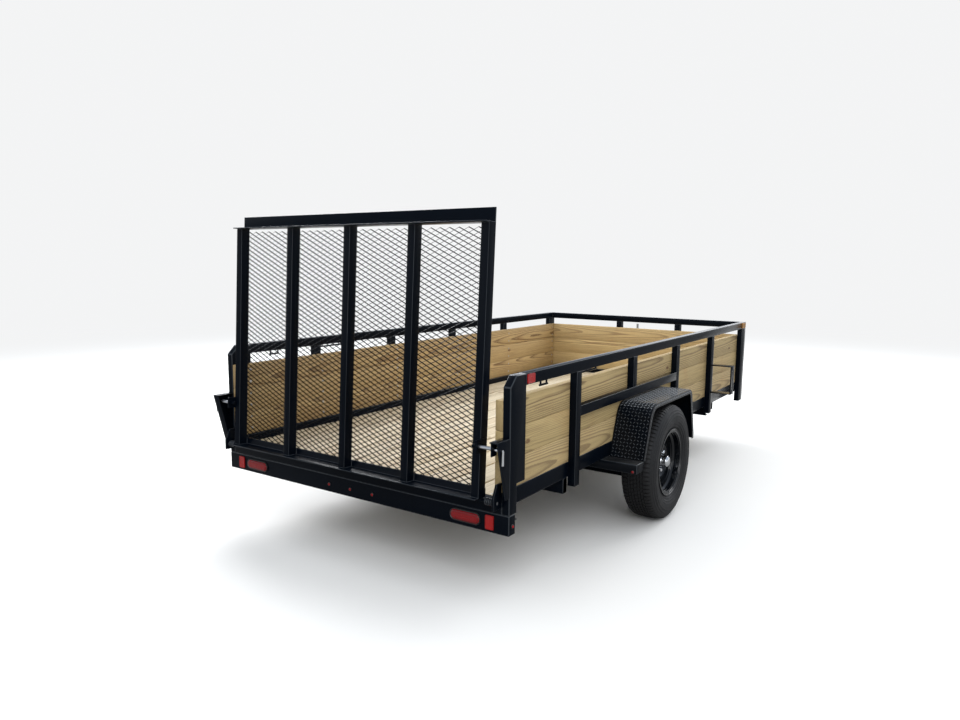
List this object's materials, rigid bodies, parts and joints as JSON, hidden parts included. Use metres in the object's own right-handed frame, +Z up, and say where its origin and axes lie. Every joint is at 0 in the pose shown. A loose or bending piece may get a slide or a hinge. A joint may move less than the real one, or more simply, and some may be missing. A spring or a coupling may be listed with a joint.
{
  "type": "utility trailer",
  "caption": "Single axle utility trailer with high wooden sides, a mesh ramp gate, tread plate fenders and a tongue jack, black frame and pine boards.",
  "frame": {"origin": "middle of the whole trailer in plan, on the ground", "axes": "+X to the right of the trailer, +Y forward to the coupler, +Z up"},
  "size_m": [2.213, 5.0716, 1.6869],
  "materials": {
    "black_paint": "satin",
    "wheel_paint": "satin",
    "bright_steel": "brushed",
    "zinc_plate": "satin",
    "chrome_trim": "polished",
    "pine": "sawn",
    "tyre_rubber": "moulded",
    "red_lens": "gloss",
    "amber_lens": "gloss"
  },
  "bodies": {
    "trailer": {"frame_side_rails": "black_paint", "frame_headers": "black_paint", "cross_members": "black_paint", "fender_step": "black_paint", "tongue_beams": "black_paint", "rear_bumper": "black_paint", "rear_posts": "black_paint", "side_uprights": "black_paint", "front_uprights": "black_paint", "top_rail": "black_paint", "side_braces": "black_paint", "floor_planks": "pine", "side_boards_right": "pine", "side_boards_left": "pine", "front_boards": "pine", "hinge_ears": "black_paint", "helper_springs": "black_paint", "latch_brackets": "black_paint", "latch_handles": "chrome_trim", "axle": "black_paint", "leaf_springs": "black_paint", "spring_hangers": "black_paint", "spring_clamps": "black_paint", "fender_right": "black_paint", "fender_left": "black_paint", "coupler": "black_paint", "coupler_latch": "zinc_plate", "jack_bracket": "zinc_plate", "tail_lamps": "red_lens", "rear_reflectors": "red_lens", "side_reflectors_red": "red_lens", "side_reflectors_amber": "amber_lens", "marker_lamps": "red_lens", "spare_wheel_bracket": "black_paint", "tie_down_loops": "black_paint"},
    "gate": {"gate_frame": "black_paint", "gate_mesh": "black_paint", "gate_hinge_pins": "bright_steel", "gate_latch_pins": "bright_steel"},
    "wheel_assembly_right": {"tyre_right": "tyre_rubber", "wheel_rim_right": "wheel_paint", "wheel_disc_right": "wheel_paint", "hub_right": "chrome_trim", "wheel_nuts_right": "bright_steel"},
    "wheel_assembly_left": {"tyre_left": "tyre_rubber", "wheel_rim_left": "wheel_paint", "wheel_disc_left": "wheel_paint", "hub_left": "chrome_trim", "wheel_nuts_left": "bright_steel"},
    "jack": {"jack_tube": "zinc_plate", "jack_crank": "zinc_plate"},
    "jack_inner": {"jack_leg": "zinc_plate"}
  },
  "joints": [
    {"name": "gate_hinge", "type": "hinge", "parent": "trailer", "child": "gate", "pos_m": [0, -2.4728, 0.462], "axis": [1, 0, 0], "range_deg": [0, 113]},
    {"name": "wheel_spin_right", "type": "hinge", "parent": "trailer", "child": "wheel_assembly_right", "pos_m": [1.0065, -0.9508, 0.3315], "axis": [1, 0, 0], "continuous": true},
    {"name": "wheel_spin_left", "type": "hinge", "parent": "trailer", "child": "wheel_assembly_left", "pos_m": [-1.0065, -0.9508, 0.3315], "axis": [1, 0, 0], "continuous": true},
    {"name": "jack_swivel", "type": "hinge", "parent": "trailer", "child": "jack", "pos_m": [-0.37289, 1.8442, 0.3827], "axis": [-0.9063, 0.4226, 0], "range_deg": [0, 90]},
    {"name": "jack_lift", "type": "slide", "parent": "jack", "child": "jack_inner", "axis": [0, 0, 1], "range_m": [0, 0.19]}
  ]
}
